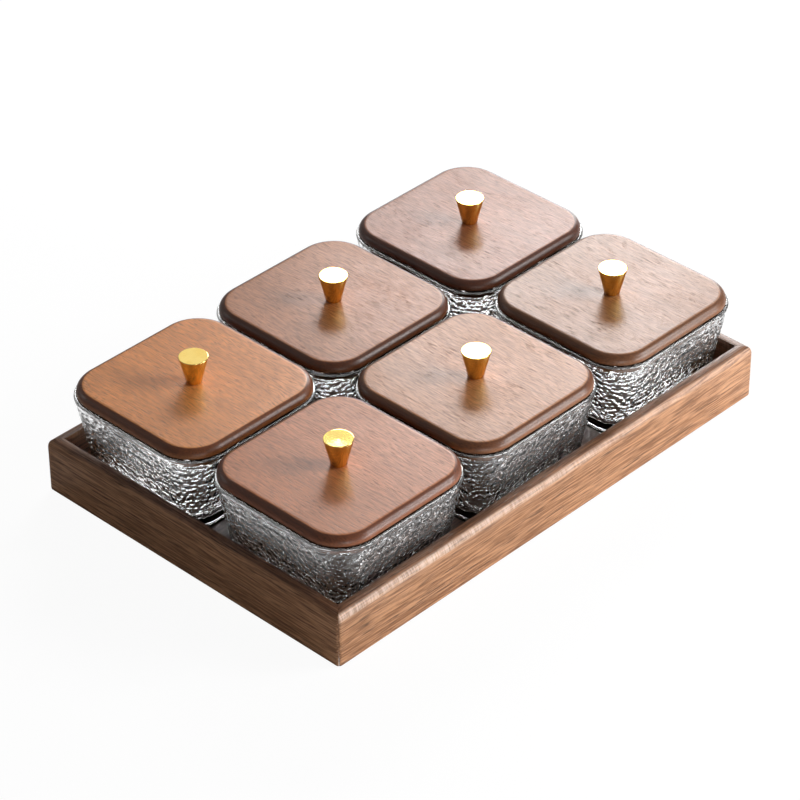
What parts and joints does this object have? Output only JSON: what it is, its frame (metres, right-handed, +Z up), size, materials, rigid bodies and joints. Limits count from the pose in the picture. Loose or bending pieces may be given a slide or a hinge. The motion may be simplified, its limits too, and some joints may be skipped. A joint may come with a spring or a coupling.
{
  "type": "chip and dip server",
  "caption": "Low mitred wooden tray holding tapered square hammered-glass bowls, each with a rounded wooden lid lifted by a conical brass-coloured knob.",
  "frame": {"origin": "under the middle of the tray, on the plane that the tray stands on", "axes": "+X along the tray, towards the right column of bowls; +Y across it, towards the back row; +Z up"},
  "size_m": [0.3372, 0.2256, 0.0884],
  "materials": {
    "tray_wood": "satin oiled brown wood, long straight grain",
    "lid_wood": "satin lacquered brown wood, fine open grain across the tray",
    "glass": "clear pressed glass, hammered outside, smooth rim and base",
    "brass": "polished",
    "soft_ring": "translucent white soft ring, matt",
    "steel": "zinc-plated"
  },
  "bodies": {
    "tray": {"tray_floor": "tray_wood", "tray_wall_front": "tray_wood", "tray_wall_right": "tray_wood", "tray_wall_back": "tray_wood", "tray_wall_left": "tray_wood"},
    "bowl_front_left": {"bowl_front_left": "glass"},
    "lid_front_left": {"lid_front_left": "lid_wood", "lid_seal_front_left": "soft_ring", "knob_front_left": "brass", "knob_screw_front_left": "steel"},
    "bowl_front_middle": {"bowl_front_middle": "glass"},
    "lid_front_middle": {"lid_front_middle": "lid_wood", "lid_seal_front_middle": "soft_ring", "knob_front_middle": "brass", "knob_screw_front_middle": "steel"},
    "bowl_front_right": {"bowl_front_right": "glass"},
    "lid_front_right": {"lid_front_right": "lid_wood", "lid_seal_front_right": "soft_ring", "knob_front_right": "brass", "knob_screw_front_right": "steel"},
    "bowl_back_left": {"bowl_back_left": "glass"},
    "lid_back_left": {"lid_back_left": "lid_wood", "lid_seal_back_left": "soft_ring", "knob_back_left": "brass", "knob_screw_back_left": "steel"},
    "bowl_back_middle": {"bowl_back_middle": "glass"},
    "lid_back_middle": {"lid_back_middle": "lid_wood", "lid_seal_back_middle": "soft_ring", "knob_back_middle": "brass", "knob_screw_back_middle": "steel"},
    "bowl_back_right": {"bowl_back_right": "glass"},
    "lid_back_right": {"lid_back_right": "lid_wood", "lid_seal_back_right": "soft_ring", "knob_back_right": "brass", "knob_screw_back_right": "steel"}
  },
  "joints": [
    {"name": "bowl_front_left_lift", "type": "slide", "parent": "tray", "child": "bowl_front_left", "axis": [0, 0, 1], "range_m": [0, 0.09]},
    {"name": "lid_front_left_lift", "type": "slide", "parent": "bowl_front_left", "child": "lid_front_left", "axis": [0, 0, 1], "range_m": [0, 0.045]},
    {"name": "bowl_front_middle_lift", "type": "slide", "parent": "tray", "child": "bowl_front_middle", "axis": [0, 0, 1], "range_m": [0, 0.09]},
    {"name": "lid_front_middle_lift", "type": "slide", "parent": "bowl_front_middle", "child": "lid_front_middle", "axis": [0, 0, 1], "range_m": [0, 0.045]},
    {"name": "bowl_front_right_lift", "type": "slide", "parent": "tray", "child": "bowl_front_right", "axis": [0, 0, 1], "range_m": [0, 0.09]},
    {"name": "lid_front_right_lift", "type": "slide", "parent": "bowl_front_right", "child": "lid_front_right", "axis": [0, 0, 1], "range_m": [0, 0.045]},
    {"name": "bowl_back_left_lift", "type": "slide", "parent": "tray", "child": "bowl_back_left", "axis": [0, 0, 1], "range_m": [0, 0.09]},
    {"name": "lid_back_left_lift", "type": "slide", "parent": "bowl_back_left", "child": "lid_back_left", "axis": [0, 0, 1], "range_m": [0, 0.045]},
    {"name": "bowl_back_middle_lift", "type": "slide", "parent": "tray", "child": "bowl_back_middle", "axis": [0, 0, 1], "range_m": [0, 0.09]},
    {"name": "lid_back_middle_lift", "type": "slide", "parent": "bowl_back_middle", "child": "lid_back_middle", "axis": [0, 0, 1], "range_m": [0, 0.045]},
    {"name": "bowl_back_right_lift", "type": "slide", "parent": "tray", "child": "bowl_back_right", "axis": [0, 0, 1], "range_m": [0, 0.09]},
    {"name": "lid_back_right_lift", "type": "slide", "parent": "bowl_back_right", "child": "lid_back_right", "axis": [0, 0, 1], "range_m": [0, 0.045]}
  ]
}
